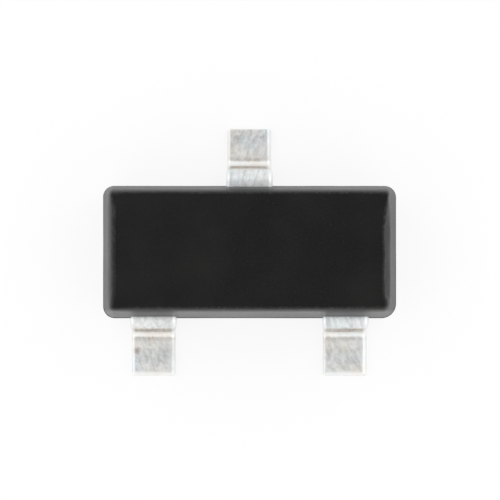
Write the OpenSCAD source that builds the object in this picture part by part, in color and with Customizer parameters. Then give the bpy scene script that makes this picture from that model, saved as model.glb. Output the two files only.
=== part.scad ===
// Three-lead surface-mount transistor in the small outline package, 2.9 x 1.3 mm.
// The frame: +X along the body, +Y towards the single (collector) lead, +Z up.
// The origin is the middle of the part on the board, level with the undersides of the feet.

/* [Moulded body] */
// Length of the body, along the side with two leads
body_l = 2.90; // [2.80:0.01:3.04]
// Width of the body, from lead side to lead side
body_w = 1.31; // [1.20:0.01:1.40]
// Height of the body, from its underside to its top
body_h = 0.95; // [0.90:0.01:1.05]
// Gap between the board and the underside of the body
standoff = 0.05; // [0.01:0.01:0.10]
// Slope of the walls from the upright, above and below the line where the mould halves part
draft_angle = 7; // [3:0.5:10]
// Radius of the edge round the top face, seen from above
top_edge_r = 0.08; // [0.02:0.005:0.10]
// How many times taller than wide that edge is
top_edge_tall = 2.2; // [1:0.1:2.5]
// Radius of the edge round the underside
base_edge_r = 0.025; // [0.01:0.005:0.05]
// Radius of the upright corners where they reach the top face
corner_r = 0.01; // [0.005:0.005:0.08]

/* [Leads] */
// Thickness of the sheet that the leads are stamped from
lead_t = 0.10; // [0.08:0.005:0.15]
// Width of a lead at its foot
foot_w = 0.44; // [0.30:0.01:0.50]
// Width of a lead where it leaves the body
shoulder_w = 0.465; // [0.36:0.005:0.54]
// Distance between the middles of the two leads on one side
lead_span = 1.90; // [1.78:0.01:2.04]
// Distance across the part, from toe to toe
overall_w = 2.46; // [2.25:0.01:2.60]
// Height of the middle of the sheet above the board, where it leaves the body
exit_h = 0.50; // [0.45:0.01:0.55]
// Flat length of the collector lead from the widest outline of the body to its upper bend
collector_shoulder = 0.055; // [0.005:0.005:0.08]
// The same of the other two leads, below zero where the bend starts over the sloping wall
pair_shoulder = -0.01; // [-0.01:0.005:0.08]
// Slope of the leg from the level
leg_angle = 84; // [72:1:90]
// Inside radius of the upper bend
upper_bend_r = 0.02; // [0.01:0.005:0.05]
// Inside radius of the lower bend
lower_bend_r = 0.06; // [0.02:0.005:0.08]
// Radius of the two corners of a toe
toe_r = 0.025; // [0.005:0.005:0.08]

/* [Lead frame inside the body] */
// Length of the die paddle, along the body
paddle_l = 1.00; // [0.80:0.01:1.10]
// Width of the die paddle, across the body
paddle_w = 0.66; // [0.55:0.01:0.72]
// Width of a bond post, across the body
post_w = 0.42; // [0.30:0.01:0.50]
// Gap in the sheet between the paddle and each post
frame_gap = 0.16; // [0.10:0.01:0.20]
// Moulding between the lead frame and the walls of the body
side_cover = 0.19; // [0.12:0.01:0.22]
// Corner radius of the stamped paddle and posts
stamp_r = 0.05; // [0.01:0.01:0.09]

/* [Die and bonds] */
// Side of the square die
die_l = 0.36; // [0.28:0.01:0.45]
// Thickness of the die
die_t = 0.12; // [0.08:0.01:0.16]
// Thickness of the layer that fixes the die to the paddle
attach_t = 0.015; // [0.010:0.005:0.030]
// How far that layer spreads past the die
attach_rim = 0.02; // [0.01:0.005:0.04]
// Distance between the two bonds on the die
bond_pitch = 0.16; // [0.10:0.01:0.18]
// Diameter of the bond wires
wire_d = 0.025; // [0.018:0.001:0.038]
// Diameter of the flattened ball at the die end of a wire
ball_d = 0.065; // [0.055:0.005:0.080]
// Height of that ball
ball_h = 0.020; // [0.015:0.005:0.030]
// Height of a wire's loop above the die
loop_h = 0.13; // [0.09:0.01:0.16]
// Distance along the loop from the ball to the top of the loop
loop_rise = 0.12; // [0.06:0.01:0.20]
// Distance of a wire's far bond from the inner edge of its post
stitch_inset = 0.14; // [0.08:0.01:0.20]

/* [Hidden] */

arc_steps = 8;
wire_sides = 8;
rise_rings = 6;
fall_rings = 12;
$fn = 48;

// Sizes are kept on a grid of a tenth of a micron, so that surfaces which meet share the same numbers.
grid = 0.0001;
function on_grid(v) = round(v / grid) * grid;

// Heights
frame_bottom = exit_h - lead_t / 2;
frame_top = exit_h + lead_t / 2;
body_top = standoff + body_h;
die_bottom = frame_top + attach_t;
die_top = die_bottom + die_t;

// Points of an arc about centre c, from angle a0 to angle a1
function arc(c, r, a0, a1, steps = arc_steps) =
    [for (i = [0 : steps]) let (a = a0 + (a1 - a0) * i / steps) c + r * [cos(a), sin(a)]];

// Outline of a rectangle with round corners, about the origin
function round_rect(l, w, r) =
    let (x = l / 2 - r, y = w / 2 - r)
    concat(arc([x, y], r, 0, 90), arc([-x, y], r, 90, 180),
           arc([-x, -y], r, 180, 270), arc([x, -y], r, 270, 360));

// Moulded body: one wall section, carried round a rectangle with revolved corners.

// How far a wall leans in over a height h
function wall_run(h) = h * tan(draft_angle);
// Slope of the wall from the upright, once heights are divided by tall
function squashed_draft(tall) = atan(tall * tan(draft_angle));
// How far an edge of radius r leans in, from the corner that the wall and the flat face would make
function edge_run(r, tall) = r / tan(45 + squashed_draft(tall) / 2);

top_run = wall_run(body_top - frame_bottom) + edge_run(top_edge_r, top_edge_tall);
base_run = wall_run(frame_bottom - standoff) + edge_run(base_edge_r, 1);
// The upright axis of each corner stands this far inside the widest outline
corner_inset = on_grid(corner_r + max(top_run, base_run));
corner_x = on_grid(body_l / 2 - corner_inset);
corner_y = on_grid(body_w / 2 - corner_inset);

// Outer wall from the underside to the top, as distance from a corner's axis and height.
// The mould halves part level with the underside of the lead frame, where the body is widest.
wall_section = [for (p = concat(
        arc([corner_inset - base_run, standoff + base_edge_r], base_edge_r, -90, -draft_angle),
        [[corner_inset, frame_bottom]],
        [for (q = arc([0, 0], top_edge_r, squashed_draft(top_edge_tall), 90))
            [corner_inset - top_run + q.x, body_top + top_edge_tall * (q.y - top_edge_r)]]))
    [on_grid(p.x), on_grid(p.y)]];
wall_last = len(wall_section) - 1;

// Section right across the body, with the corner axes at a distance c on both sides
function cross_section(c) = concat(
    [for (p = wall_section) [c + p.x, p.y]],
    [for (i = [wall_last : -1 : 0]) [-c - wall_section[i].x, wall_section[i].y]]);

module body_form() {
    quarters = [[1, 1], [-1, 1], [-1, -1], [1, -1]];
    for (i = [0 : 3])
        translate([quarters[i].x * corner_x, quarters[i].y * corner_y, 0])
            rotate([0, 0, 90 * i])
                rotate_extrude(angle = 90)
                    polygon(concat([[0, standoff]], wall_section, [[0, body_top]]));
    rotate([90, 0, 90])
        linear_extrude(height = 2 * corner_x, center = true)
            polygon(cross_section(corner_y));
    rotate([90, 0, 0])
        linear_extrude(height = 2 * corner_y, center = true)
            polygon(cross_section(corner_x));
}

module epoxy_body() {
    color("#242523")
        difference() {
            body_form();
            collector_lead();
            base_lead();
            emitter_lead();
            die_attach();
            silicon_die();
            base_bond_wire();
            emitter_bond_wire();
        }
}

// Leads: a side profile with two bends, cut to the outline that the stamping has in plan.
// A lead is drawn with its middle on the Y axis and its toe towards +Y.

side_y = body_w / 2;
toe_y = overall_w / 2;
// The middle of the sheet turns through the leg's slope twice, with the straight leg between
upper_mid_r = upper_bend_r + lead_t / 2;
lower_mid_r = lower_bend_r + lead_t / 2;
leg_drop = frame_bottom - (upper_mid_r + lower_mid_r) * (1 - cos(leg_angle));
upper_reach = upper_mid_r * sin(leg_angle);
leg_reach = leg_drop / tan(leg_angle);
lower_reach = lower_mid_r * sin(leg_angle);

// Bent sheet seen from the side, as Y and Z, from its inner end to the toe and back
function side_profile(inner_y, bend_y) =
    let (foot_y = bend_y + upper_reach + leg_reach + lower_reach,
         upper = [bend_y, exit_h - upper_mid_r],
         lower = [foot_y, lead_t / 2 + lower_mid_r])
    concat(
        [[inner_y, frame_top]],
        arc(upper, upper_bend_r + lead_t, 90, 90 - leg_angle),
        arc(lower, lower_bend_r, 270 - leg_angle, 270),
        [[toe_y, lead_t], [toe_y, 0]],
        arc(lower, lower_bend_r + lead_t, 270, 270 - leg_angle),
        arc(upper, upper_bend_r, 90 - leg_angle, 90),
        [[inner_y, frame_bottom]]);

// Lead in plan, from its inner head to the toe: it narrows down the leg to the foot's width
module lead_outline(head_y, bend_y) {
    leg_y = bend_y + upper_reach;
    half = concat(
        [[shoulder_w / 2, head_y], [shoulder_w / 2, leg_y], [foot_w / 2, leg_y + leg_reach]],
        arc([foot_w / 2 - toe_r, toe_y - toe_r], toe_r, 0, 90));
    last = len(half) - 1;
    polygon(concat(half, [for (i = [last : -1 : 0]) [-half[i].x, half[i].y]]));
}

// One lead with its head, which reaches from head_x[0] to head_x[1] along the body and head_w across it
module bent_lead(head_x, head_w, shoulder) {
    head_y = side_y - side_cover - head_w / 2;
    bend_y = side_y + shoulder;
    intersection() {
        rotate([90, 0, 90])
            linear_extrude(height = 2 * body_l, center = true)
                polygon(side_profile(-side_y, bend_y));
        translate([0, 0, -lead_t])
            linear_extrude(height = body_top)
                union() {
                    translate([(head_x[0] + head_x[1]) / 2, head_y])
                        polygon(round_rect(head_x[1] - head_x[0], head_w, stamp_r));
                    lead_outline(head_y, bend_y);
                }
    }
}

// Reach of a bond post along the body, from the gap beside the paddle to the end wall
post_x = [paddle_l / 2 + frame_gap, body_l / 2 - side_cover];

module outer_lead() {
    translate([lead_span / 2, 0, 0])
        mirror([0, 1, 0])
            bent_lead([post_x[0] - lead_span / 2, post_x[1] - lead_span / 2], post_w, pair_shoulder);
}

module collector_lead() {
    color("#c9c9c4") bent_lead([-paddle_l / 2, paddle_l / 2], paddle_w, collector_shoulder);
}

module base_lead() {
    color("#c9c9c4") mirror([1, 0, 0]) outer_lead();
}

module emitter_lead() {
    color("#c9c9c4") outer_lead();
}

// Die on the middle of the paddle, fixed by a thin layer that spreads a little past it.

paddle_y = side_y - side_cover - paddle_w / 2;

module die_attach() {
    color("#8f9092")
        translate([0, paddle_y, frame_top])
            linear_extrude(height = attach_t)
                polygon(round_rect(die_l + 2 * attach_rim, die_l + 2 * attach_rim, attach_rim));
}

module silicon_die() {
    color("#4a4d57")
        translate([-die_l / 2, paddle_y - die_l / 2, die_bottom])
            cube([die_l, die_l, die_t]);
}

// Bond wires: a ball on the die, a loop and a stitch flattened on the post.
// A wire is drawn in an upright plane, as distance along it and height above the board.

bond_start = [bond_pitch / 2, paddle_y];
bond_end = [post_x[0] + stitch_inset, -(side_y - side_cover - post_w / 2)];
bond_reach = norm(bond_end - bond_start);
bond_along = (bond_end - bond_start) / bond_reach;
loop_top = die_top + loop_h;
// The stitch is pressed to this share of the wire's radius above the post
stitch_press = 0.5;
stitch_h = frame_top + stitch_press * wire_d / 2;

function rise_point(a) =
    let (start_h = die_top + ball_h / 2)
    [loop_rise * (1 - cos(a)), start_h + (loop_top - start_h) * sin(a)];
function fall_point(a) =
    [loop_rise + (bond_reach - loop_rise) * a / 180,
     stitch_h + (loop_top - stitch_h) * (1 + cos(a)) / 2];
wire_path = concat(
    [for (i = [0 : rise_rings - 1]) rise_point(90 * i / rise_rings)],
    [for (i = [0 : fall_rings]) fall_point(180 * i / fall_rings)]);
wire_last = len(wire_path) - 1;

function unit(v) = v / norm(v);
// Direction of the path at a ring: straight up at the ball and level at the stitch
function wire_heading(i) =
    i == 0 ? [0, 1] : i == wire_last ? [1, 0] : unit(wire_path[i + 1] - wire_path[i - 1]);

// One point of a ring, which lies on the post where the wire is pressed flat
function wire_point(i, k) =
    let (turn = 360 * (k + 0.5) / wire_sides,
         heading = wire_heading(i),
         out = wire_d / 2 * cos(turn),
         aside = wire_d / 2 * sin(turn),
         along = wire_path[i].x - out * heading.y,
         z = max(frame_top, wire_path[i].y + out * heading.x))
    [bond_start.x + along * bond_along.x - aside * bond_along.y,
     bond_start.y + along * bond_along.y + aside * bond_along.x, z];

module bond_wire() {
    points = [for (i = [0 : wire_last], k = [0 : wire_sides - 1]) wire_point(i, k)];
    sides = [for (i = [0 : wire_last - 1], k = [0 : wire_sides - 1])
        let (n = (k + 1) % wire_sides, a = i * wire_sides, b = a + wire_sides)
        each [[a + k, a + n, b + n], [a + k, b + n, b + k]]];
    first_end = [[for (k = [wire_sides - 1 : -1 : 0]) k]];
    last_end = [[for (k = [0 : wire_sides - 1]) wire_last * wire_sides + k]];
    polyhedron(points, concat(sides, first_end, last_end));
    translate([bond_start.x, bond_start.y, die_top])
        rotate_extrude()
            polygon(concat([[0, 0]], arc([(ball_d - ball_h) / 2, ball_h / 2], ball_h / 2, -90, 90),
                           [[0, ball_h]]));
}

module base_bond_wire() {
    color("#d9a441") mirror([1, 0, 0]) bond_wire();
}

module emitter_bond_wire() {
    color("#d9a441") bond_wire();
}

epoxy_body();
collector_lead();
base_lead();
emitter_lead();
silicon_die();
die_attach();
base_bond_wire();
emitter_bond_wire();
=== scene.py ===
import math

import bmesh
import bpy
from mathutils import Matrix, Vector, noise


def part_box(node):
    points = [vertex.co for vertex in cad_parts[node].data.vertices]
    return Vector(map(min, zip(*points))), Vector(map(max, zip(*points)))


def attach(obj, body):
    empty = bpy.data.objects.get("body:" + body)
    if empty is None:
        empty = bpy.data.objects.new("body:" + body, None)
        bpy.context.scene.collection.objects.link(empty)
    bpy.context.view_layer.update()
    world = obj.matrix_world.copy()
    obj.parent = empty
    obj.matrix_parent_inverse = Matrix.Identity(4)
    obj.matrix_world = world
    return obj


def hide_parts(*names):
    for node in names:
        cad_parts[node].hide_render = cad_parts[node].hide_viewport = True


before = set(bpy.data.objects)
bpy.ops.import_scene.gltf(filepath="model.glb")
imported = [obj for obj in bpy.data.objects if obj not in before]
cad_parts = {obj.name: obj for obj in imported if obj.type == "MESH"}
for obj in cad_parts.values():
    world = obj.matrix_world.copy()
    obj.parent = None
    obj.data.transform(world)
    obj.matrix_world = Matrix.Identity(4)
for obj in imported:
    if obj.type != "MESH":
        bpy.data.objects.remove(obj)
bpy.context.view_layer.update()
mm = 0.001  # sizes in the dictionaries are millimetres, the scene is in metres
scene = bpy.context.scene
scene.view_settings.view_transform = "Standard"


class Flow:
    # one socket of a node tree, whose operators add Math nodes to that tree
    def __init__(self, tree, socket=None):
        self.tree = tree
        self.socket = socket

    def node(self, kind, settings=None, values=None, pick=0):
        # any node: first its settings, then the values or links of its sockets
        made = self.tree.nodes.new(kind)
        for name, value in (settings or {}).items():
            setattr(made, name, value)
        for name, value in (values or {}).items():
            if isinstance(value, Flow):
                self.tree.links.new(value.socket, made.inputs[name])
            else:
                made.inputs[name].default_value = value
        return Flow(self.tree, made.outputs[pick] if made.outputs else None)

    def other(self, name):
        return Flow(self.tree, self.socket.node.outputs[name])

    def maths(self, operation, *values):
        return self.node("ShaderNodeMath", {"operation": operation}, dict(enumerate(values)))

    def __add__(self, value):
        return self.maths("ADD", self, value)

    def __radd__(self, value):
        return self.maths("ADD", value, self)

    def __sub__(self, value):
        return self.maths("SUBTRACT", self, value)

    def __rsub__(self, value):
        return self.maths("SUBTRACT", value, self)

    def __mul__(self, value):
        return self.maths("MULTIPLY", self, value)

    def __rmul__(self, value):
        return self.maths("MULTIPLY", value, self)

    def __truediv__(self, value):
        return self.maths("DIVIDE", self, value)

    def __rtruediv__(self, value):
        return self.maths("DIVIDE", value, self)

    def above(self, level):
        return self.maths("GREATER_THAN", self, level)

    def atMost(self, value):
        return self.maths("MINIMUM", self, value)

    def atLeast(self, value):
        return self.maths("MAXIMUM", self, value)

    def root(self):
        return self.maths("SQRT", self)

    def absolute(self):
        return self.maths("ABSOLUTE", self)

    def rise(self, low, high):
        # 0 below low, 1 above high, smooth between
        ends = {"Value": self, "From Min": low, "From Max": high}
        return self.node("ShaderNodeMapRange", {"interpolation_type": "SMOOTHSTEP"}, ends)


def rgba(colour):
    return colour if isinstance(colour, Flow) else (*colour, 1.0)


def blend(share, first, second):
    # a colour between two, by a share from 0 to 1
    values = {0: share, 6: rgba(first), 7: rgba(second)}
    return share.node("ShaderNodeMix", {"data_type": "RGBA"}, values, 2)


def band(value, low, high, soft):
    # 1 between low and high, smooth at both ends
    return value.rise(low - soft, low + soft) * (1 - value.rise(high - soft, high + soft))


def separate(vector):
    x = vector.node("ShaderNodeSeparateXYZ", None, {"Vector": vector}, "X")
    return x, x.other("Y"), x.other("Z")


def combine(x, y, z):
    # a vector from three values, of which y at least comes from a socket
    return y.node("ShaderNodeCombineXYZ", None, {"X": x, "Y": y, "Z": z})


def attribute(place, name):
    # a value stored on the points of the mesh
    return place.node("ShaderNodeAttribute", {"attribute_name": name}, pick="Fac")


def grain(place, rate, detail=3.0, rough=0.5, turn=0.0):
    # noise between 0 and 1, with this many changes in a millimetre
    values = {"Vector": place, "Scale": rate, "Detail": detail, "Roughness": rough, "Distortion": turn}
    return place.node("ShaderNodeTexNoise", None, values)


def relief(height, depth, strength):
    # a bump of this depth in millimetres
    values = {"Height": height, "Distance": depth * mm, "Strength": strength}
    return height.node("ShaderNodeBump", None, values)


def emptyNodes(holder):
    # an unused node tree of a material or a world
    holder.use_nodes = True
    holder.node_tree.nodes.clear()
    return Flow(holder.node_tree)


def newFinish(name):
    # a material, and the place on the object in millimetres
    finish = bpy.data.materials.new(name)
    place = emptyNodes(finish).node("ShaderNodeTexCoord", pick="Object")
    inMm = {"Vector": place, "Scale": 1 / mm}
    return finish, place.node("ShaderNodeVectorMath", {"operation": "SCALE"}, inMm)


def endFinish(start, sockets):
    shader = start.node("ShaderNodeBsdfPrincipled", None, sockets)
    start.node("ShaderNodeOutputMaterial", None, {"Surface": shader})


def shapeTree(name, sizes):
    # a tree of Geometry Nodes with these named inputs
    tree = bpy.data.node_groups.new(name, "GeometryNodeTree")
    tree.interface.new_socket("Geometry", in_out="OUTPUT", socket_type="NodeSocketGeometry")
    for size in sizes:
        tree.interface.new_socket(size, in_out="INPUT", socket_type="NodeSocketFloat")
    entry = tree.nodes.new("NodeGroupInput")
    return tree, {size: Flow(tree, entry.outputs[size]) for size in sizes}


def store(shape, name, value):
    values = {"Geometry": shape, "Name": name, "Value": value}
    return shape.node("GeometryNodeStoreNamedAttribute", {"data_type": "FLOAT", "domain": "POINT"}, values)


def sweep(line, section):
    # a closed mesh with this section all along a line
    values = {"Curve": line, "Profile Curve": section, "Fill Caps": True}
    return line.node("GeometryNodeCurveToMesh", None, values)


def union(first, second):
    # one closed mesh out of two
    settings = {"operation": "UNION", "solver": "EXACT"}
    whole = first.node("GeometryNodeMeshBoolean", settings, {"Mesh 2": first})
    whole.tree.links.new(second.socket, whole.socket.node.inputs["Mesh 2"])
    return whole


def endTree(shape, finish):
    shape = shape.node("GeometryNodeRealizeInstances", None, {"Geometry": shape})
    shape = shape.node("GeometryNodeSetMaterial", None, {"Geometry": shape, "Material": finish})
    shape.node("NodeGroupOutput", None, {"Geometry": shape})


def addObject(name, data):
    made = bpy.data.objects.new(name, data)
    scene.collection.objects.link(made)
    return made


def applyModifier(piece, modifier):
    # the piece gets the modified mesh and loses the modifier
    bpy.context.view_layer.update()
    evaluated = piece.evaluated_get(bpy.context.evaluated_depsgraph_get())
    made = bpy.data.meshes.new_from_object(evaluated)
    piece.modifiers.remove(modifier)
    piece.data = made


def grow(name, tree, sizes):
    # runs a shape tree at these sizes and keeps the result as a plain mesh, still in millimetres
    piece = addObject(name, bpy.data.meshes.new(name))
    modifier = piece.modifiers.new("shape", "NODES")
    modifier.node_group = tree
    for item in tree.interface.items_tree:
        if item.in_out == "INPUT":
            modifier[item.identifier] = float(sizes[item.name])
    applyModifier(piece, modifier)
    return piece


def keepMesh(shape, name, finish):
    # a finished shape in millimetres becomes a piece of the scene
    bmesh.ops.scale(shape, vec=(mm, mm, mm), verts=shape.verts)
    mesh = bpy.data.meshes.new(name)
    shape.to_mesh(mesh)
    shape.free()
    mesh.materials.append(finish)
    return addObject(name, mesh)


def settle(piece, nodeName, sharpAngle):
    # closes a finished mesh, then hands it to the frame in the place of its solid
    shape = bmesh.new()
    shape.from_mesh(piece.data)
    bmesh.ops.remove_doubles(shape, verts=shape.verts, dist=1e-9)
    bmesh.ops.recalc_face_normals(shape, faces=shape.faces)
    shape.to_mesh(piece.data)
    shape.free()
    piece.data.shade_smooth()
    piece.data.set_sharp_from_angle(angle=math.radians(sharpAngle))
    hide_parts(nodeName)
    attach(piece, "root")


def boxInMm(nodeName):
    return [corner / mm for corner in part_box(nodeName)]


def clamp(value, low=0.0, high=1.0):
    return min(high, max(low, value))


def wobble(x, y, rate, seed):
    # smooth noise between -1 and 1, changing this many times in a millimetre
    return noise.noise(Vector((x * rate, y * rate, seed)))


camera = {
    "lens": 500.0,                 # long, so the sides hardly run together
    "sensor": 36.0,
    "frame": 500,                  # pixels along each side of the photograph
    "bodyLength": 293.2,           # pixels that the body covers there
    "bodyCentre": (249.7, 252.0),  # pixel at the middle of the body
    "leanRight": -0.4,             # degrees off straight above, towards +X
    "leanFront": 0.4,              # and towards -Y
}


def placeCamera():
    low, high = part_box("epoxy_body")
    middle = (low + high) / 2
    pixel = (high.x - low.x) / camera["bodyLength"]
    back = Vector((math.tan(math.radians(camera["leanRight"])),
                   -math.tan(math.radians(camera["leanFront"])), 1.0)).normalized()
    right = Vector((0.0, 1.0, 0.0)).cross(back).normalized()
    up = back.cross(right)
    half = camera["frame"] / 2
    centreX, centreY = camera["bodyCentre"]
    aim = middle + pixel * ((half - centreX) * right + (centreY - half) * up)
    distance = half * pixel * camera["lens"] / (camera["sensor"] / 2)
    data = bpy.data.cameras.new("photoCamera")
    data.lens = camera["lens"]
    data.sensor_width = camera["sensor"]
    data.clip_start = distance / 10
    data.clip_end = distance * 10
    holder = addObject("photoCamera", data)
    turn = Matrix((right, up, back)).transposed().to_4x4()
    holder.matrix_world = Matrix.Translation(aim + back * distance) @ turn
    scene.camera = holder


placeCamera()
print("camera placed")


studio = {
    "white": (1.0, 1.0, 1.0),
    "floorHalf": 150.0,       # millimetres from the middle to the floor's edge
    "floorDrop": 0.003,       # keeps the floor just clear of the feet
    "floorColour": (0.93, 0.93, 0.93),
    "whiteShare": 0.86,       # of the floor that is seen as plain white, the rest takes the shadow
    "ring": 1.0,              # brightness of the white backdrop all round the part
    "cap": 0.45,              # and of the dim ceiling above it
    "capEdge": (25.0, 55.0),  # degrees up, from the last of the white to the ceiling
    "lampFar": 30.0,          # millimetres from the part to a lamp
    "lampSize": 22.0,
    "lamps": [                # degrees round from +X, degrees up, brightness
        (-38.0, 45.0, 1.1),
        (38.0, 45.0, 1.1),
        (142.0, 45.0, 1.1),
        (218.0, 45.0, 1.15),
    ],
}


def makeFloor():
    half = studio["floorHalf"] * mm
    drop = studio["floorDrop"] * mm
    corners = [(-half, -half, -drop), (half, -half, -drop), (half, half, -drop), (-half, half, -drop)]
    mesh = bpy.data.meshes.new("floor")
    mesh.from_pydata(corners, [], [(0, 1, 2, 3)])
    finish = bpy.data.materials.new("paleFloor")
    start = emptyNodes(finish)
    lit = start.node("ShaderNodeBsdfDiffuse", None, {"Color": rgba(studio["floorColour"])})
    white = start.node("ShaderNodeEmission", None, {"Color": rgba(studio["white"]), "Strength": 1.0})
    # camera, mirror and glass rays all see the plain white
    camRay = start.node("ShaderNodeLightPath", pick="Is Camera Ray")
    direct = camRay.atLeast(camRay.other("Is Glossy Ray")).atLeast(camRay.other("Is Transmission Ray"))
    top = start.node("ShaderNodeMixShader", None, {0: direct * studio["whiteShare"], 1: lit, 2: white})
    # and the camera sees through it from below
    clear = start.node("ShaderNodeBsdfTransparent")
    below = start.node("ShaderNodeNewGeometry", pick="Backfacing")
    whole = start.node("ShaderNodeMixShader", None, {0: below * camRay, 1: top, 2: clear})
    start.node("ShaderNodeOutputMaterial", None, {"Surface": whole})
    mesh.materials.append(finish)
    addObject("floor", mesh)


def makeSky():
    world = bpy.data.worlds.new("studioSky")
    scene.world = world
    start = emptyNodes(world)
    way = start.node("ShaderNodeTexCoord", pick="Generated")
    height = separate(way)[2]
    low, high = [math.sin(math.radians(angle)) for angle in studio["capEdge"]]
    glow = studio["ring"] + height.rise(low, high) * (studio["cap"] - studio["ring"])
    sky = start.node("ShaderNodeBackground", None, {"Color": rgba(studio["white"]), "Strength": glow})
    start.node("ShaderNodeOutputWorld", None, {"Surface": sky})


def hangLamps():
    for number, (azimuth, up, brightness) in enumerate(studio["lamps"]):
        data = bpy.data.lights.new("softbox%d" % (number + 1), "AREA")
        data.size = studio["lampSize"] * mm
        data.energy = brightness * math.pi * data.size ** 2
        turn, lift = math.radians(azimuth), math.radians(up)
        way = Vector((math.cos(turn) * math.cos(lift), math.sin(turn) * math.cos(lift), math.sin(lift)))
        lamp = addObject(data.name, data)
        lamp.location = way * studio["lampFar"] * mm
        lamp.rotation_euler = way.to_track_quat("Z", "Y").to_euler()


makeFloor()
makeSky()
hangLamps()
print("studio lit")


leadPitch = 0.95             # from the middle of the part to a front lead
body = {
    "lowDraft": 7.0,         # degrees that the lower mould half leans in
    "drafts": {              # and the upper one, on each side
        "left": 7.0,
        "back": 4.8,
        "front": 7.9,
        "right": 9.0,
    },
    "sheet": 0.100,          # the mould parts this far under the top of the lead frame
    "flash": 0.0015,         # lip squeezed out between the mould halves
    "mismatch": 0.002,       # the upper half sits this far towards +Y of the lower one
    "baseRound": 0.025,      # edge round the underside
    "corners": {             # radius of the upright corners at the parting line
        "backRight": 0.114,
        "backLeft": 0.108,
        "frontLeft": 0.116,
        "frontRight": 0.145,
    },
    "topCorner": 0.006,      # the least that is left of it at the top face
    "cornerRound": 0.072,    # width of the edge round the top face, at the corners
    "roundTall": 3.6,        # that edge is an ellipse, this much taller than wide
    "sideRounds": {          # its width along each side, and how unevenly it runs
        "left": (0.105, 0.018),
        "back": (0.058, 0.004),
        "front": (0.066, 0.004),
        "right": (0.085, 0.008),
    },
    "fade": 0.15,            # length over which a side's own edge takes over from the corner's
    "facetRun": 0.050,       # the +X end's top edge is worn to an uneven facet, this far in
    "facetLean": 63.0,       # degrees that it leans from the level
    "facetBack": 0.40,       # it stops here, short of the back corner
    "facetRounds": (0.030, 0.200),
    "gateWidth": 0.34,       # shallow scar at the -X end, where the runner was broken off
    "gateHeight": 0.13,
    "gateDepth": 0.006,
    "step": 0.02,            # spacing of the mesh along the walls
    "cornerSteps": 14,       # its steps round a corner
    "lowerRows": 24,         # and its rows up each mould half
    "upperRows": 9,
}
epoxy = {
    "colour": (0.0022, 0.0025, 0.0024),
    "pale": (0.0060, 0.0062, 0.0057),  # where the flow left the skin duller
    "filler": (0.015, 0.016, 0.015),   # silica grains that show at the surface
    "worn": (0.040, 0.039, 0.036),     # rubbed edges
    "roughness": 0.385,
    "frontPolish": 0.080,              # walls that the mould left this much smoother
    "leftPolish": 0.030,
    "frontWall": (0.09, 0.06),         # in from the outline, where the top ends and that wall is reached
    "leftWall": (0.12, 0.08),
    "longWalls": (0.11, 0.05),
    "dulled": 0.12,                    # rougher over each lead, where flash was cleaned off
    "dulledEnds": (0.15, 0.28),        # from the middle of the lead, where that starts to fade and is gone
    "dulledHeights": (0.70, 0.90),     # it is slight below these heights and full above
    "specular": 0.25,
    "cloudRate": 1.6,                  # flow marks, pits and specks in a millimetre
    "pitRate": 22.0,
    "speckRate": 55.0,
    "bumpDepth": 0.004,
    "bumpStrength": 0.35,
}


def onWall(distance, outline, ends):
    # 0 on the top face and 1 on a wall, by the distance from the middle
    return distance.rise(outline - ends[0], outline - ends[1])


def blackEpoxy(bodyEnd, bodySide, parting):
    finish, place = newFinish("blackEpoxy")
    x, y, z = separate(place)
    cloud = grain(place, epoxy["cloudRate"], 4.0)
    speck = grain(place, epoxy["speckRate"], 2.0)
    pits = grain(place, epoxy["pitRate"], 4.0)
    rub = attribute(place, "edge")
    front = onWall(0 - y, bodySide, epoxy["frontWall"])
    left = onWall(0 - x, bodyEnd, epoxy["leftWall"])
    # walls over the leads: the pair in front, the single one in the middle of the back
    frontHalf = y.rise(0.1, -0.1)
    fromLead = x.absolute() - frontHalf * leadPitch
    overLead = 1 - fromLead.absolute().rise(*epoxy["dulledEnds"])
    overLead = overLead * onWall(y.absolute(), bodySide, epoxy["longWalls"])
    overLead = overLead * (0.2 + z.rise(*epoxy["dulledHeights"]) * 0.8)
    # the gate scar, with a ragged outline
    ragged = (pits - 0.5) * 0.12
    broken = band(y + ragged, -body["gateWidth"] / 2, body["gateWidth"] / 2, 0.03)
    broken = broken * band(z + ragged, parting - body["gateHeight"], parting - 0.02, 0.02) * left
    colour = blend(cloud.rise(0.30, 0.70), epoxy["colour"], epoxy["pale"])
    colour = blend(speck.rise(0.58, 0.72) * 0.5, colour, epoxy["filler"])
    rubbed = pits.rise(0.42, 0.66) * (0.25 + speck.rise(0.44, 0.60) * 0.75)
    colour = blend(rub * rubbed * 0.6, colour, epoxy["worn"])
    colour = blend(broken * (0.10 + speck.rise(0.40, 0.62) * 0.08), colour, epoxy["worn"])
    rough = epoxy["roughness"] - front * epoxy["frontPolish"] - left * epoxy["leftPolish"]
    rough = rough + (cloud - 0.5) * 0.12 + (speck - 0.5) * 0.16 + overLead * epoxy["dulled"]
    height = (speck * 0.5 + pits) * (1 + rub * 1.5) + speck * broken * 1.5
    endFinish(place, {
        "Base Color": colour,
        "Roughness": rough,
        "Specular IOR Level": epoxy["specular"],
        "Normal": relief(height, epoxy["bumpDepth"], epoxy["bumpStrength"]),
    })
    return finish


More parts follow.
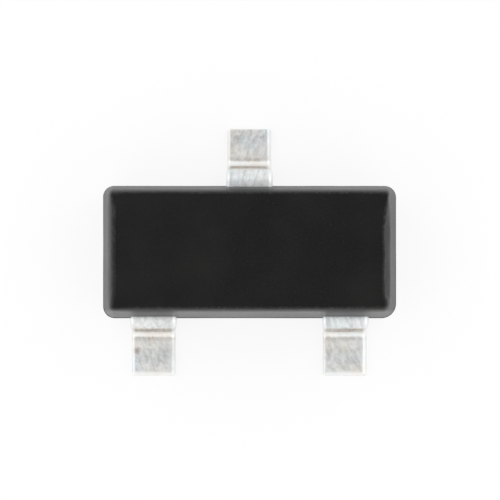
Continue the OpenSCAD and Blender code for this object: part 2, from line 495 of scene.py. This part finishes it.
def bodyStations(halfX, halfY):
    # axes to draw the wall from, counter-clockwise: place, way out, reach out to the widest outline,
    # the side that it is on, and how far that side's own edge has taken over from the corner's
    turns = [  # each corner's place, the angle that it starts at, and the side after it
        ("backRight", 1, 1, 0, "back"),
        ("backLeft", -1, 1, 90, "left"),
        ("frontLeft", -1, -1, 180, "front"),
        ("frontRight", 1, -1, 270, "right"),
    ]
    corners = []
    for name, signX, signY, start, side in turns:
        radius = body["corners"][name]
        corners.append((signX * (halfX - radius), signY * (halfY - radius), radius, start, side))
    stations = []
    for number, (x, y, radius, start, side) in enumerate(corners):
        nextX, nextY, nextRadius = corners[(number + 1) % 4][:3]
        for step in range(body["cornerSteps"] + 1):
            angle = math.radians(start + 90 * step / body["cornerSteps"])
            stations.append((x, y, math.cos(angle), math.sin(angle), radius, side, 0.0))
        length = math.hypot(nextX - x, nextY - y)
        count = round(length / body["step"])
        out = math.radians(start + 90)
        for step in range(1, count):
            share = step / count
            own = min(1.0, min(share, 1 - share) * length / body["fade"])
            stations.append((x + share * (nextX - x), y + share * (nextY - y), math.cos(out), math.sin(out),
                             radius + share * (nextRadius - radius), side, own * own * (3 - 2 * own)))
    return stations


def roundTurn(radius, tall, lean, steps):
    # an elliptical edge between a flat and a wall that leans: run in from the wall, drop from the flat
    squashed = math.atan(tall * math.tan(lean))
    turn = math.pi / 2 - squashed
    run = radius / math.tan(math.pi / 4 + squashed / 2)
    points = []
    for step in range(steps + 1):
        angle = turn * step / steps
        points.append((run - radius * math.sin(angle), tall * radius * (1 - math.cos(angle))))
    return points


def wornTurn(lean):
    # the worn edge in 10 steps: a small round, the facet, a slight round on to the wall
    slope = math.tan(lean)
    tilt = math.radians(body["facetLean"])
    wall = math.pi / 2 - lean
    inner, outer = body["facetRounds"]
    drop = body["facetRun"] * math.tan(tilt) / (1 - slope * math.tan(tilt))
    points = []
    for step in range(6):
        angle = tilt * step / 5
        points.append((body["facetRun"] + inner * (math.tan(tilt / 2) - math.sin(angle)),
                       inner * (1 - math.cos(angle))))
    reach = outer * math.tan((wall - tilt) / 2)
    foot = (reach * math.cos(tilt) - slope * drop, drop - reach * math.sin(tilt))
    points.append(((points[-1][0] + foot[0]) / 2, (points[-1][1] + foot[1]) / 2))
    for step in range(4):
        angle = tilt + (wall - tilt) * step / 3
        points.append((foot[0] - outer * (math.sin(angle) - math.sin(tilt)),
                       foot[1] + outer * (math.cos(tilt) - math.cos(angle))))
    return points


def between(start, end, steps):
    return [(start[0] + (end[0] - start[0]) * step / steps, start[1] + (end[1] - start[1]) * step / steps)
            for step in range(1, steps)]


def upperLean(outX, outY):
    # how far the upper wall that faces this way leans from the upright
    shares = {"left": min(outX, 0), "back": max(outY, 0), "front": min(outY, 0), "right": max(outX, 0)}
    return math.radians(sum(body["drafts"][side] * share ** 2 for side, share in shares.items()))


def edgeWidth(x, y, side, own, room, lean):
    # width of the edge round the top face, the corner's as far as there is room, then the side's
    sideRound, uneven = body["sideRounds"][side]
    sideRound += uneven * (wobble(x, y, 5, 3.1) + 0.4 * wobble(x, y, 13, 8.4))
    cornerRound = min(body["cornerRound"], room / roundTurn(1.0, body["roundTall"], lean, 1)[0][0])
    return cornerRound + own * (sideRound - cornerRound)


def wornShare(y, own):
    # how far the facet has replaced the rounded edge of the +X end
    ragged = 0.6 * wobble(0, y, 7, 5.2) + 0.35 * wobble(0, y, 19, 7.7)
    reach = clamp((body["facetBack"] - y) / body["fade"])
    return min(1.0, own * 2.0) * reach * clamp(0.85 + ragged, 0.4)


def gateScar(y, z, parting):
    # depth of the scar at the -X end
    across = 2 * y / body["gateWidth"]
    down = 2 * (parting - z) / body["gateHeight"] - 1
    scar = max(0.0, 1 - across ** 2) * max(0.0, 1 - down ** 2)
    return body["gateDepth"] * min(1.0, 3 * scar) * (0.8 + 0.4 * wobble(y, z, 11, 4.4))


def wallSection(reaches, heights, lean, topRound, worn):
    # from the underside to the top: distance out from the corner's axis, and height
    lower, lip, upper = reaches
    low, parting, high = heights
    lowLean = math.radians(body["lowDraft"])
    base = [(lower - math.tan(lowLean) * (parting - low) - run, low + drop)
            for run, drop in roundTurn(body["baseRound"], 1.0, lowLean, 6)]
    thin = body["flash"] / 2
    seam = [
        (lower, parting - thin),
        (lip, parting - thin / 2),
        (lip, parting + thin / 2),
        (upper, parting + thin),
    ]
    apex = upper - math.tan(lean) * (high - parting)
    smooth = roundTurn(topRound, body["roundTall"], lean, 10)
    top = [(apex - run - worn * (wornRun - run), high - drop - worn * (wornDrop - drop))
           for (run, drop), (wornRun, wornDrop) in zip(smooth, wornTurn(lean))]
    top.reverse()
    lowerWall = between(base[-1], seam[0], body["lowerRows"])
    upperWall = between(seam[-1], top[0], body["upperRows"])
    return base + lowerWall + seam + upperWall + top


def makeBody(finish, parting):
    low, high = boxInMm("epoxy_body")
    shape = bmesh.new()
    edge = shape.verts.layers.float.new("edge")
    flat = body["topCorner"] / 2  # a narrow strip of each flat face, so that the round edges shade cleanly
    rings = []
    for x, y, outX, outY, radius, side, own in bodyStations(high.x, high.y):
        lean = upperLean(outX, outY)
        lower = radius - (body["flash"] + body["mismatch"] * (1 + outY) / 2)
        upper = radius - (body["flash"] + body["mismatch"] * (1 - outY) / 2)
        lip = radius - body["flash"] * clamp(0.3 + 0.6 * wobble(x, y, 3, 6.6), 0.0, 0.6)
        room = upper - math.tan(lean) * (high.z - parting) - body["topCorner"]
        topRound = edgeWidth(x, y, side, own, room, lean)
        worn = wornShare(y, own) if side == "right" else 0.0
        section = wallSection((lower, lip, upper), (low.z, parting, high.z), lean, topRound, worn)
        inner = section[-1][0]
        section.append((inner - flat, section[-1][1]))
        section.insert(0, (section[0][0] - flat, section[0][1]))
        ring = []
        for out, z in section:
            if side == "left":
                out -= gateScar(y, z, parting)
            vertex = shape.verts.new((x + outX * out, y + outY * out, z))
            vertex[edge] = clamp(1 - (high.z - z) / topRound) if out > inner else 0.0
            ring.append(vertex)
        rings.append(ring)
    for ring, following in zip(rings, rings[1:] + rings[:1]):
        for level in range(len(ring) - 1):
            shape.faces.new((ring[level], following[level], following[level + 1], ring[level + 1]))
    shape.faces.new([ring[-1] for ring in rings])
    shape.faces.new([ring[0] for ring in reversed(rings)])
    settle(keepMesh(shape, "epoxyShell", finish), "epoxy_body", 30.0)


bodyEnd, bodySide = boxInMm("epoxy_body")[1][:2]
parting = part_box("collector_lead")[1].z / mm - body["sheet"]
makeBody(blackEpoxy(bodyEnd, bodySide, parting), parting)
print("body moulded")


tin = {
    "colour": (0.93, 0.93, 0.91),
    "cool": (0.85, 0.89, 0.91),
    "warm": (0.92, 0.89, 0.84),
    "pitShadeGrey": (0.50, 0.50, 0.49),      # painted shade in the pits of the plating; the sheared sides are darkened with the same grey
    "legShadeAndScuff": (0.40, 0.36, 0.31),       # painted shade down the steep leg, with the marks where the forming die dragged
    "footShadeAndStain": (0.30, 0.22, 0.16),      # painted shade across the start of the foot, and the brown of the stain
    "copper": (0.60, 0.31, 0.19),      # bared spots
    "rootShadeAndResin": (0.10, 0.09, 0.08),       # resin that bled out of the mould, with painted contact shade where the lead leaves the body
    "roughness": 0.58,
    "legEnds": (0.0, 0.29),            # along the sheet from the top of the leg
    "footStart": 0.45,
    "footWorn": (0.60, 0.70),          # the part of the foot that a test socket rubbed
    "rootShadeAndFilm": 0.010,                     # how far that resin and painted shade reach from the body
    "stain": (-1.115, -0.978, 0.1),    # middle of a brown stain on the left foot
    "stainSize": 0.052,
    "patchRate": 4.5,                  # tints, crystals and fine grain in a millimetre
    "crystalRate": 24.0,
    "fineRate": 60.0,
    "streakRate": 8.0,                 # marks of the rolling mill, which run a little askew
    "streakLean": 0.3,
    "dragRate": 4.0,                   # marks of the forming die
    "bumpDepth": 0.005,
    "bumpStrength": 0.6,
}


def matteTin(bodySide):
    finish, place = newFinish("matteTin")
    across, y, _ = separate(place)
    along = attribute(place, "along")
    rolled = attribute(place, "rim")
    outward = y.absolute()
    patches = grain(place, tin["patchRate"], 3.0, 0.55)
    crystals = grain(place, tin["crystalRate"], 3.0, 0.6, 0.3)
    fine = grain(place, tin["fineRate"], 2.0, 0.6)
    skew = across - along * tin["streakLean"]
    streaks = grain(combine(skew * 2.6, along, outward * 0.3), tin["streakRate"], 3.0, 0.55, 0.5)
    drags = grain(combine(across * 9.0, along, 0.0), tin["dragRate"], 3.0, 0.6)
    shear = grain(combine(along * 5.0, across, outward), 14.0, 3.0)
    # where each point is: edge, cut side, shoulder, leg, lower bend, foot
    legTop, legFoot = tin["legEnds"]
    wornFrom, wornTo = tin["footWorn"]
    rim = (rolled + (crystals - 0.5) * 0.8).rise(-0.45, 0.45)
    side = rolled.rise(0.96, 1.0)
    held = 1 - along.rise(legTop - 0.05, legTop)  # the shoulder, which the forming tool clamped
    onLeg = band(along, legTop - 0.012, legFoot - 0.02, 0.02) * (1 - rim * 0.7)
    inBend = band(along, legFoot + 0.03, tin["footStart"] - 0.03, 0.02)
    line = band(along, tin["footStart"] - 0.012, tin["footStart"] + 0.012, 0.034) * (1 - rim * 0.6)
    rubbed = band(along, wornFrom, wornTo, 0.08)
    # tints, then painted shade in the pits, where nothing has rolled or stretched the plating smooth
    colour = blend(patches.rise(0.50, 0.64), tin["colour"], tin["cool"])
    colour = blend((1 - patches).rise(0.52, 0.66), colour, tin["warm"])
    colour = blend((rubbed + held) * 0.6, colour, tin["cool"])
    plain = rim.atLeast(inBend * 0.8)
    coarse = 0.65 + along.rise(tin["footStart"] + 0.04, wornFrom) * 0.30 + held * 0.15
    pitShade = (crystals.rise(0.30, 0.76) * 0.38 + streaks.rise(0.34, 0.72) * 0.54) * coarse + rubbed * 0.10
    colour = blend(pitShade.atMost(0.9) * (1 - plain * 0.9), colour, tin["pitShadeGrey"])
    # the leg's drag marks with painted shade and its bared copper, the sheared sides, the line where the
    # foot starts
    dragAndShade = 0.40 + drags.rise(0.32, 0.68) * 0.35 + patches.rise(0.38, 0.60) * 0.25
    colour = blend(onLeg * dragAndShade, colour, tin["legShadeAndScuff"])
    bared = drags.rise(0.50, 0.66) * patches.rise(0.48, 0.60)
    colour = blend(onLeg * bared * 0.45, colour, tin["copper"])
    colour = blend(side * (0.15 + shear.rise(0.35, 0.65) * 0.45), colour, tin["pitShadeGrey"])
    # painted shade across the start of the foot, below the leg
    colour = blend(line * (0.25 + crystals.rise(0.25, 0.65) * 0.25), colour, tin["footShadeAndStain"])
    # resin bled from the mould with painted contact shade next to the body, and the stain
    offBody = outward - bodySide
    rootShadeAndFilm = (1 - offBody.rise(-2 * tin["rootShadeAndFilm"], 0.0)) * (0.1 + crystals * 0.4)
    colour = blend(rootShadeAndFilm.atMost(0.9), colour, tin["rootShadeAndResin"])
    stainAt = {0: place, 1: tin["stain"]}
    apart = place.node("ShaderNodeVectorMath", {"operation": "DISTANCE"}, stainAt, "Value")
    stained = 1 - (apart + (fine - 0.5) * tin["stainSize"]).rise(0.0, tin["stainSize"])
    colour = blend(stained * 0.65, colour, tin["footShadeAndStain"])
    height = crystals + streaks * 0.8 + fine * 0.25
    endFinish(place, {
        "Base Color": colour,
        "Metallic": 1.0,
        "Roughness": tin["roughness"] + (crystals - 0.5) * 0.25 + onLeg * 0.08 - rim * 0.15,
        "Normal": relief(height, tin["bumpDepth"], tin["bumpStrength"]),
    })
    return finish


lead = {
    "Sheet Thickness": 0.10,
    "Shoulder Width": 0.465,
    "Foot Width": 0.44,
    "Exit Height": 0.50,      # middle of the sheet where it leaves the body
    "Leg Angle": 84.0,
    "Upper Bend": 0.02,       # inside radius
    "Lower Bend": 0.06,
    "Left Roll": 0.034,       # upper edges, rounded as the stamp pulled them down
    "Right Roll": 0.052,
    "Cut Edge": 0.008,        # lower edges
    "Toe Corner": 0.025,
    "Head Corner": 0.05,
    "Spacing": 0.008,         # of the mesh along the lead
    "Dents": 0.004,           # depth of the plating's unevenness
    "Dent Rate": 9.0,         # dents in a millimetre
}
collectorLead = {"Shoulder": 0.055, "Droop": 0.008, "Toe Roll": 0.010, "Head Depth": 0.66}
pairLead = {"Shoulder": -0.010, "Droop": 0.0, "Toe Roll": 0.045, "Head Depth": 0.42}
placeSizes = ["Head Left", "Head Right", "Head Start", "Body Side", "Toe"]


def filletCurve(curve, count, radius, limited):
    values = {"Curve": curve, "Count": count, "Radius": radius, "Limit Radius": limited}
    return curve.node("GeometryNodeFilletCurve", {"mode": "POLY"}, values)


def evenCurve(curve, spacing):
    values = {"Curve": curve, "Length": spacing}
    return curve.node("GeometryNodeResampleCurve", {"mode": "LENGTH"}, values)


def rectangle(start, width, height):
    values = {"Width": width, "Height": height}
    return start.node("GeometryNodeCurvePrimitiveQuadrilateral", {"mode": "RECTANGLE"}, values)


def leadLine(start, size, neck, topCorner):
    # the sheet's middle line: out of the body, down the leg, along the board
    index = start.node("GeometryNodeInputIndex")
    angle = start.maths("RADIANS", size["Leg Angle"])
    drop = size["Exit Height"] - size["Sheet Thickness"] / 2
    lowCorner = topCorner + drop / start.maths("TANGENT", angle)
    stepsY = [neck, topCorner, lowCorner, size["Toe"]]
    y = stepsY[0]
    for number, (here, there) in enumerate(zip(stepsY, stepsY[1:])):
        y = y + index.above(number + 0.5) * (there - here)
    z = size["Exit Height"] - index.above(1.5) * drop
    line = start.node("GeometryNodeMeshLine", None, {"Count": 4})
    line = start.node("GeometryNodeMeshToCurve", None, {"Mesh": line})
    line = start.node("GeometryNodeSetPosition", None, {"Geometry": line, "Position": combine(0.0, y, z)})
    upper = size["Upper Bend"] + size["Sheet Thickness"] / 2
    lower = size["Lower Bend"] + size["Sheet Thickness"] / 2
    line = filletCurve(line, 16, upper + index.above(1.5) * (lower - upper), False)
    line = evenCurve(line, size["Spacing"])
    legTop = size["Body Side"] + size["Shoulder"] - neck + upper * angle
    return store(line, "along", start.node("GeometryNodeSplineParameter", pick="Length") - legTop)


def leadSection(start, size):
    # the sheet's section, with its upper edges rolled over by the stamp
    index = start.node("GeometryNodeInputIndex")
    section = rectangle(start, size["Shoulder Width"], size["Sheet Thickness"])
    rolled = size["Cut Edge"] + index.above(1.5) * (size["Left Roll"] - size["Cut Edge"])
    rolled = rolled + index.above(2.5) * (size["Right Roll"] - size["Left Roll"])
    return evenCurve(filletCurve(section, 8, rolled, True), size["Spacing"])


def formedSheet(start, size, sheet, topCorner):
    place = start.node("GeometryNodeInputPosition")
    x, y, z = separate(place)
    thick = size["Sheet Thickness"]
    toe = size["Toe"]
    # how far over a rolled edge each point is: 0 where the flat ends, 1 at the side, less on the flat
    roll = size["Left Roll"] + x.above(0) * (size["Right Roll"] - size["Left Roll"])
    rim = 1 - (size["Shoulder Width"] / 2 - x.absolute()) / roll
    sheet = store(sheet, "rim", rim.atLeast(1 - (toe - y) / size["Toe Roll"]))
    # narrower down the leg, round at the toe's corners and over its upper edge
    down = ((size["Exit Height"] - z) / (size["Exit Height"] - thick)).atLeast(0).atMost(1)
    width = 1 - down * (1 - size["Foot Width"] / size["Shoulder Width"])
    corner = size["Toe Corner"]
    past = (y - toe + corner).atLeast(0).atMost(corner)
    tuck = corner - (corner * corner - past * past).atLeast(0).root()
    width = width * (1 - tuck * 2 / size["Foot Width"])
    roll = size["Toe Roll"]
    past = (y - toe + roll).atLeast(0).atMost(roll)
    ceiling = thick - roll + (roll * roll - past * past).atLeast(0).root()
    behind = 1 - (y - toe + roll).above(0)
    sunk = (y - size["Body Side"]).rise(0, topCorner - size["Body Side"]) * (1 - down) * size["Droop"]
    moved = combine(x * width, y, z.atMost(ceiling + behind) - sunk)
    sheet = start.node("GeometryNodeSetPosition", None, {"Geometry": sheet, "Position": moved})
    # dented a little, always inwards
    dents = grain(place, size["Dent Rate"], 2.0) * size["Dents"]
    inwards = {"Vector": start.node("GeometryNodeInputNormal"), "Scale": 0 - dents}
    dented = start.node("ShaderNodeVectorMath", {"operation": "SCALE"}, inwards)
    return start.node("GeometryNodeSetPosition", None, {"Geometry": sheet, "Offset": dented})


def leadHead(start, size, neck):
    # the head that the body holds, stamped from the same sheet
    middle = (size["Head Left"] + size["Head Right"]) / 2
    outline = rectangle(start, size["Head Right"] - size["Head Left"], size["Head Depth"])
    outline = filletCurve(outline, 8, size["Head Corner"], True)
    half = size["Sheet Thickness"] / 2
    ends = {"Start": combine(middle, neck, size["Exit Height"] - half),
            "End": combine(middle, neck, size["Exit Height"] + half)}
    return sweep(start.node("GeometryNodeCurvePrimitiveLine", None, ends), outline)


def leadTree(finish):
    tree, size = shapeTree("bentLead", list(lead) + list(pairLead) + placeSizes)
    start = Flow(tree)
    neck = size["Head Start"] + size["Head Depth"] / 2
    halfTan = start.maths("TANGENT", start.maths("RADIANS", size["Leg Angle"]) / 2)
    upper = size["Upper Bend"] + size["Sheet Thickness"] / 2
    topCorner = size["Body Side"] + size["Shoulder"] + upper * halfTan
    sheet = sweep(leadLine(start, size, neck, topCorner), leadSection(start, size))
    sheet = formedSheet(start, size, sheet, topCorner)
    whole = union(sheet, leadHead(start, size, neck))
    # joining the two mixes up the stored values, so each point takes them from the sheet again
    nearest = start.node("GeometryNodeSampleNearest", {"domain": "POINT"}, {"Geometry": sheet})
    for name in ("along", "rim"):
        stored = start.node("GeometryNodeInputNamedAttribute", {"data_type": "FLOAT"}, {"Name": name})
        value = start.node("GeometryNodeSampleIndex", {"data_type": "FLOAT", "domain": "POINT"},
                           {"Geometry": sheet, "Value": stored, "Index": nearest})
        whole = store(whole, name, value)
    endTree(whole, finish)
    return tree


def makeLead(tree, nodeName, pieceName, own):
    low, high = boxInMm(nodeName)
    front = low.y + high.y < 0        # this lead comes out of the -Y side
    centre = (low.x + high.x) / 2
    if front:
        centre = math.copysign(leadPitch, centre)
    sizes = {
        **lead,
        **own,
        "Head Left": low.x - centre,
        "Head Right": high.x - centre,
        "Head Start": -high.y if front else low.y,
        "Body Side": bodySide,
        "Toe": -low.y if front else high.y,
    }
    if front:  # drawn pointing backwards and then turned round, so left and right change places
        sizes.update({
            "Head Left": centre - high.x,
            "Head Right": centre - low.x,
            "Left Roll": lead["Right Roll"],
            "Right Roll": lead["Left Roll"],
        })
    piece = grow(pieceName, tree, sizes)
    turn = Matrix.Rotation(math.pi, 4, "Z") if front else Matrix.Identity(4)
    piece.data.transform(Matrix.Scale(mm, 4) @ Matrix.Translation((centre, 0, 0)) @ turn)
    settle(piece, nodeName, 45.0)


bentLead = leadTree(matteTin(bodySide))
makeLead(bentLead, "collector_lead", "collectorLead", collectorLead)
makeLead(bentLead, "base_lead", "baseLead", pairLead)
makeLead(bentLead, "emitter_lead", "emitterLead", pairLead)
print("leads bent")


die = {
    "chip": 0.004,         # broken edges left by the saw
    "padSize": 0.095,      # bond pads
    "padPitch": 0.160,
    "padRise": 0.0015,
    "silicon": (0.085, 0.090, 0.110),
    "oxide": (0.110, 0.085, 0.150),
    "aluminium": (0.80, 0.80, 0.79),
    "roughness": 0.22,
    "cloudRate": 7.0,      # tints of the oxide in a millimetre
    "sawRates": (4, 4, 90),
    "bumpDepth": 0.002,
    "bumpStrength": 0.4,
}


def sawnSilicon():
    finish, place = newFinish("sawnSilicon")
    clouds = grain(place, die["cloudRate"], 2.0)
    sawn = place.node("ShaderNodeVectorMath", {"operation": "MULTIPLY"}, {0: place, 1: die["sawRates"]})
    saw = grain(sawn, 1.0, 2.0)
    pad = attribute(place, "pad")
    colour = blend(clouds.rise(0.35, 0.65), die["silicon"], die["oxide"])
    endFinish(place, {
        "Base Color": blend(pad, colour, die["aluminium"]),
        "Metallic": 0.4 + pad * 0.6,
        "Roughness": die["roughness"] + saw * 0.2 + pad * 0.1,
        "Normal": relief(saw + clouds * 0.2, die["bumpDepth"], die["bumpStrength"]),
    })
    return finish


def slab(low, high, chip):
    # a block between two corners, with its edges broken
    shape = bmesh.new()
    bmesh.ops.create_cube(shape, size=1.0)
    for vertex in shape.verts:
        vertex.co = [low[axis] + (vertex.co[axis] + 0.5) * (high[axis] - low[axis]) for axis in range(3)]
    bmesh.ops.bevel(shape, geom=list(shape.edges), offset=chip, segments=2, profile=0.5, affect="EDGES")
    return shape


def joinTo(piece, other):
    # one closed mesh out of two that overlap
    modifier = piece.modifiers.new("union", "BOOLEAN")
    modifier.operation = "UNION"
    modifier.solver = "EXACT"
    modifier.object = other
    applyModifier(piece, modifier)
    bpy.data.objects.remove(other)


def makeDie(finish):
    low, high = boxInMm("silicon_die")
    middle = (low + high) / 2
    rise = die["padRise"]
    top = high.z - rise
    piece = keepMesh(slab(low, (high.x, high.y, top), die["chip"]), "silicon", finish)
    half = die["padSize"] / 2
    for side in (-1, 1):
        x = middle.x + side * die["padPitch"] / 2
        pad = slab((x - half, middle.y - half, top - rise), (x + half, middle.y + half, high.z), rise / 3)
        joinTo(piece, keepMesh(pad, "bondPad", finish))
    onPad = piece.data.attributes.new("pad", "FLOAT", "POINT")
    for vertex in piece.data.vertices:
        onPad.data[vertex.index].value = float(vertex.co.z / mm > top + rise / 2)
    settle(piece, "silicon_die", 30.0)


adhesive = {
    "wave": 0.004,         # how unevenly the paste spread
    "rim": 0.012,          # the paste slopes up to the die over this width
    "corner": 0.020,
    "cornerSteps": 12,
    "slope": [(0.0, 0.0), (0.35, 0.1), (0.75, 0.45), (1.0, 1.0)],  # share of the height, share of the rim
    "silver": (0.55, 0.55, 0.53),
    "dull": (0.30, 0.30, 0.29),
    "roughness": 0.55,
    "metallic": 0.7,
    "flakeRate": 60.0,     # flakes and clouds in a millimetre
    "cloudRate": 20.0,
    "bumpDepth": 0.002,
    "bumpStrength": 0.6,
}


def silverPaste():
    finish, place = newFinish("silverPaste")
    flakes = place.node("ShaderNodeTexVoronoi", None, {"Vector": place, "Scale": adhesive["flakeRate"]})
    cloud = grain(place, adhesive["cloudRate"], 3.0)
    dulled = flakes.rise(0.15, 0.60) * 0.7 + cloud * 0.3
    endFinish(place, {
        "Base Color": blend(dulled, adhesive["silver"], adhesive["dull"]),
        "Metallic": adhesive["metallic"],
        "Roughness": adhesive["roughness"] + (cloud - 0.5) * 0.3,
        "Normal": relief(flakes + cloud, adhesive["bumpDepth"], adhesive["bumpStrength"]),
    })
    return finish


def makeAdhesive(finish):
    low, high = boxInMm("die_attach")
    middle = (low + high) / 2
    half = (high.x - low.x) / 2 - adhesive["corner"]
    shape = bmesh.new()
    rings = []
    for share, slope in adhesive["slope"]:
        ring = []
        z = low.z + share * (high.z - low.z)
        for number in range(4):
            turn = math.pi / 2 * number
            cornerX = middle.x + math.copysign(half, math.cos(turn + math.pi / 4))
            cornerY = middle.y + math.copysign(half, math.sin(turn + math.pi / 4))
            for step in range(adhesive["cornerSteps"] + 1):
                angle = turn + math.pi / 2 * step / adhesive["cornerSteps"]
                outX, outY = math.cos(angle), math.sin(angle)
                wave = adhesive["wave"] * (0.5 + 0.5 * wobble(outX, outY, 3, 2.2))
                out = adhesive["corner"] - wave - adhesive["rim"] * slope
                ring.append(shape.verts.new((cornerX + out * outX, cornerY + out * outY, z)))
        rings.append(ring)
    for lower, upper in zip(rings, rings[1:]):
        for number in range(len(lower)):
            after = (number + 1) % len(lower)
            shape.faces.new((lower[number], lower[after], upper[after], upper[number]))
    shape.faces.new(rings[-1])
    shape.faces.new(list(reversed(rings[0])))
    settle(keepMesh(shape, "diePaste", finish), "die_attach", 50.0)


wire = {
    "Wire Diameter": 0.025,
    "Ball Diameter": 0.065,
    "Ball Height": 0.020,
    "Loop Height": 0.130,   # top of the loop above the die
    "Loop Rise": 0.120,     # from the ball to that top, along the wire
    "Pressed": 0.5,         # the far end is pressed to this share of the wire's radius
}
stitchInset = 0.14          # from the inner edge of a post to the far bond
wirePoints = 72             # along the wire
gold = {
    "colour": (0.90, 0.62, 0.22),
    "deep": (0.72, 0.42, 0.12),
    "roughness": 0.22,
    "drawRate": 40.0,       # marks of the drawing die and grains in a millimetre
    "grainRate": 120.0,
    "bumpDepth": 0.001,
    "bumpStrength": 0.4,
}


def drawnGold():
    finish, place = newFinish("drawnGold")
    _, y, z = separate(place)
    drawn = grain(combine(attribute(place, "along") * 3.0, y, z), gold["drawRate"], 2.0)
    grains = grain(place, gold["grainRate"], 2.0)
    endFinish(place, {
        "Base Color": blend(drawn.rise(0.35, 0.75), gold["colour"], gold["deep"]),
        "Metallic": 1.0,
        "Roughness": gold["roughness"] + grains * 0.2,
        "Normal": relief(drawn + grains, gold["bumpDepth"], gold["bumpStrength"]),
    })
    return finish


def wireTree(finish):
    places = ["Start X", "Start Y", "Start Z", "End X", "End Y", "End Z"]
    tree, size = shapeTree("loopedWire", list(wire) + places)
    start = Flow(tree)
    share = start.node("GeometryNodeInputIndex") / (wirePoints - 1) * 3
    rising = 1 - share.above(1)
    upAngle = share * (math.pi / 2)
    downAngle = (share - 1) * (math.pi / 2)
    stepX = size["End X"] - size["Start X"]
    stepY = size["End Y"] - size["Start Y"]
    reach = (stepX * stepX + stepY * stepY).root()
    ballMiddle = size["Start Z"] + size["Ball Height"] / 2
    loopTop = size["Start Z"] + size["Loop Height"]
    stitch = size["End Z"] + size["Pressed"] * size["Wire Diameter"] / 2
    # a quarter wave up from the ball, then half a wave down to the post
    alongUp = size["Loop Rise"] * (1 - start.maths("COSINE", upAngle))
    alongDown = size["Loop Rise"] + (reach - size["Loop Rise"]) * downAngle / math.pi
    zUp = ballMiddle + (loopTop - ballMiddle) * start.maths("SINE", upAngle)
    zDown = stitch + (loopTop - stitch) * (1 + start.maths("COSINE", downAngle)) / 2
    travelled = (rising * alongUp + (1 - rising) * alongDown) / reach
    point = combine(size["Start X"] + travelled * stepX, size["Start Y"] + travelled * stepY,
                    rising * zUp + (1 - rising) * zDown)
    line = start.node("GeometryNodeMeshLine", None, {"Count": wirePoints})
    line = start.node("GeometryNodeMeshToCurve", None, {"Mesh": line})
    line = start.node("GeometryNodeSetPosition", None, {"Geometry": line, "Position": point})
    ring = start.node("GeometryNodeCurvePrimitiveCircle", {"mode": "RADIUS"},
                      {"Resolution": 16, "Radius": size["Wire Diameter"] / 2})
    strand = sweep(store(line, "along", travelled), ring)
    # the ball, squashed on to the die
    ball = start.node("GeometryNodeMeshUVSphere", None, {"Segments": 24, "Rings": 12, "Radius": 0.5})
    ball = start.node("GeometryNodeTransform", None, {
        "Geometry": ball,
        "Translation": combine(size["Start X"], size["Start Y"], ballMiddle),
        "Scale": combine(size["Ball Diameter"], size["Ball Diameter"], size["Ball Height"]),
    })
    whole = union(strand, ball)
    # nothing goes below the post's top, so the stitch lies flat on it
    x, y, z = separate(start.node("GeometryNodeInputPosition"))
    flat = combine(x, y, z.atLeast(size["End Z"]))
    whole = start.node("GeometryNodeSetPosition", None, {"Geometry": whole, "Position": flat})
    endTree(whole, finish)
    return tree


def makeWire(tree, nodeName, leadName, pieceName, side):
    dieLow, dieHigh = boxInMm("silicon_die")
    postLow, postHigh = boxInMm(leadName)
    inner = postLow.x if side > 0 else postHigh.x
    bonds = {
        "Start X": side * die["padPitch"] / 2,
        "Start Y": (dieLow.y + dieHigh.y) / 2,
        "Start Z": dieHigh.z,
        "End X": inner + side * stitchInset,
        "End Y": postHigh.y - pairLead["Head Depth"] / 2,
        "End Z": postHigh.z,
    }
    piece = grow(pieceName, tree, {**wire, **bonds})
    piece.data.transform(Matrix.Scale(mm, 4))
    settle(piece, nodeName, 50.0)


makeDie(sawnSilicon())
makeAdhesive(silverPaste())
loopedWire = wireTree(drawnGold())
makeWire(loopedWire, "base_bond_wire", "base_lead", "baseWire", -1)
makeWire(loopedWire, "emitter_bond_wire", "emitter_lead", "emitterWire", 1)
print("die bonded")
